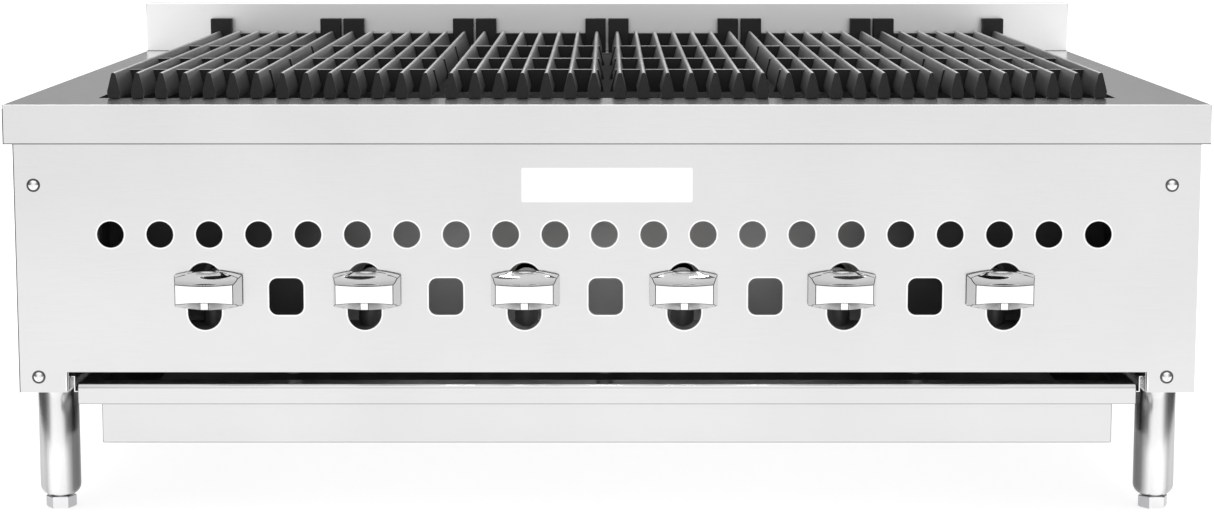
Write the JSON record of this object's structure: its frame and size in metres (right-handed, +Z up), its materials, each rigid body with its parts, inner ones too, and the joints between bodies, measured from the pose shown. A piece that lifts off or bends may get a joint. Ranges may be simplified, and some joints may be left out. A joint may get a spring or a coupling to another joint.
{
  "type": "countertop gas charbroiler",
  "caption": "Low countertop gas charbroiler: cast-iron grates over radiants and tube burners, chrome bar knobs, slide-out drip tray and adjustable feet.",
  "frame": {"origin": "on the floor under the middle of the whole outline, from knob fronts to gas inlet end", "axes": "+X to the operator's right, +Y to the back, +Z up; the knobs face -Y"},
  "size_m": [0.9144, 0.7448, 0.371],
  "materials": {
    "stainless_sheet": "fine horizontal brushed stainless",
    "galvanised_sheet": "dull rolled zinc-coated sheet",
    "aluminised_liner": "matte aluminised steel, heat dulled",
    "burner_steel": "mill finish steel tube",
    "radiant_iron": "raw sand-cast",
    "grate_iron": "smooth cast with dry grey coat",
    "chrome_knob": "bright plated",
    "brass_fitting": "turned",
    "black_pipe": "black pipe",
    "pilot_tube": "soft drawn tube",
    "polished_tube": "bright polished tube",
    "zinc_steel": "bright zinc plate",
    "blank_badge": "plain satin plate"
  },
  "bodies": {
    "chassis": {"top_deck": "stainless_sheet", "backsplash": "stainless_sheet", "front_panel": "stainless_sheet", "side_panel_right": "stainless_sheet", "side_panel_left": "stainless_sheet", "tray_rails": "stainless_sheet", "rear_panel": "galvanised_sheet", "firebox_front_wall": "aluminised_liner", "firebox_rear_wall": "aluminised_liner", "firebox_left_wall": "aluminised_liner", "firebox_right_wall": "aluminised_liner", "burner_1": "burner_steel", "burner_2": "burner_steel", "burner_3": "burner_steel", "burner_4": "burner_steel", "burner_5": "burner_steel", "burner_6": "burner_steel", "air_shutters": "burner_steel", "radiant_1": "radiant_iron", "radiant_2": "radiant_iron", "radiant_3": "radiant_iron", "radiant_4": "radiant_iron", "radiant_5": "radiant_iron", "radiant_6": "radiant_iron", "gas_valves": "brass_fitting", "orifice_hoods": "brass_fitting", "pilot_valves": "brass_fitting", "manifold_pipe": "black_pipe", "gas_inlet_pipe": "black_pipe", "pilot_tubing": "pilot_tube", "pilot_burners": "pilot_tube", "leg_front_left": "polished_tube", "leg_front_right": "polished_tube", "leg_rear_left": "polished_tube", "leg_rear_right": "polished_tube", "panel_screws": "zinc_steel", "badge_plate": "blank_badge"},
    "drip_tray": {"drip_tray": "stainless_sheet"},
    "knob_1": {"knob_1": "chrome_knob", "valve_stem_1": "brass_fitting"},
    "knob_2": {"knob_2": "chrome_knob", "valve_stem_2": "brass_fitting"},
    "knob_3": {"knob_3": "chrome_knob", "valve_stem_3": "brass_fitting"},
    "knob_4": {"knob_4": "chrome_knob", "valve_stem_4": "brass_fitting"},
    "knob_5": {"knob_5": "chrome_knob", "valve_stem_5": "brass_fitting"},
    "knob_6": {"knob_6": "chrome_knob", "valve_stem_6": "brass_fitting"},
    "grate_1": {"grate_1": "grate_iron"},
    "grate_2": {"grate_2": "grate_iron"},
    "grate_3": {"grate_3": "grate_iron"},
    "grate_4": {"grate_4": "grate_iron"},
    "grate_5": {"grate_5": "grate_iron"},
    "grate_6": {"grate_6": "grate_iron"},
    "foot_front_left": {"foot_front_left": "zinc_steel"},
    "foot_front_right": {"foot_front_right": "zinc_steel"},
    "foot_rear_left": {"foot_rear_left": "zinc_steel"},
    "foot_rear_right": {"foot_rear_right": "zinc_steel"}
  },
  "joints": [
    {"name": "drip_tray_slide", "type": "slide", "parent": "chassis", "child": "drip_tray", "axis": [0, -1, 0], "range_m": [0, 0.45]},
    {"name": "knob_1_turn", "type": "hinge", "parent": "chassis", "child": "knob_1", "pos_m": [-0.30425, -0.3614, 0.1818], "axis": [0, -1, 0], "range_deg": [0, 90]},
    {"name": "knob_2_turn", "type": "hinge", "parent": "chassis", "child": "knob_2", "pos_m": [-0.18335, -0.3614, 0.1818], "axis": [0, -1, 0], "range_deg": [0, 90]},
    {"name": "knob_3_turn", "type": "hinge", "parent": "chassis", "child": "knob_3", "pos_m": [-0.06245, -0.3614, 0.1818], "axis": [0, -1, 0], "range_deg": [0, 90]},
    {"name": "knob_4_turn", "type": "hinge", "parent": "chassis", "child": "knob_4", "pos_m": [0.05845, -0.3614, 0.1818], "axis": [0, -1, 0], "range_deg": [0, 90]},
    {"name": "knob_5_turn", "type": "hinge", "parent": "chassis", "child": "knob_5", "pos_m": [0.17935, -0.3614, 0.1818], "axis": [0, -1, 0], "range_deg": [0, 90]},
    {"name": "knob_6_turn", "type": "hinge", "parent": "chassis", "child": "knob_6", "pos_m": [0.30025, -0.3614, 0.1818], "axis": [0, -1, 0], "range_deg": [0, 90]},
    {"name": "grate_1_lift", "type": "slide", "parent": "chassis", "child": "grate_1", "axis": [0, 0, 1], "range_m": [0, 0.12]},
    {"name": "grate_2_lift", "type": "slide", "parent": "chassis", "child": "grate_2", "axis": [0, 0, 1], "range_m": [0, 0.12]},
    {"name": "grate_3_lift", "type": "slide", "parent": "chassis", "child": "grate_3", "axis": [0, 0, 1], "range_m": [0, 0.12]},
    {"name": "grate_4_lift", "type": "slide", "parent": "chassis", "child": "grate_4", "axis": [0, 0, 1], "range_m": [0, 0.12]},
    {"name": "grate_5_lift", "type": "slide", "parent": "chassis", "child": "grate_5", "axis": [0, 0, 1], "range_m": [0, 0.12]},
    {"name": "grate_6_lift", "type": "slide", "parent": "chassis", "child": "grate_6", "axis": [0, 0, 1], "range_m": [0, 0.12]},
    {"name": "foot_front_left_screw", "type": "slide", "parent": "chassis", "child": "foot_front_left", "axis": [0, 0, -1], "range_m": [0, 0.025]},
    {"name": "foot_front_right_screw", "type": "slide", "parent": "chassis", "child": "foot_front_right", "axis": [0, 0, -1], "range_m": [0, 0.025]},
    {"name": "foot_rear_left_screw", "type": "slide", "parent": "chassis", "child": "foot_rear_left", "axis": [0, 0, -1], "range_m": [0, 0.025]},
    {"name": "foot_rear_right_screw", "type": "slide", "parent": "chassis", "child": "foot_rear_right", "axis": [0, 0, -1], "range_m": [0, 0.025]}
  ]
}
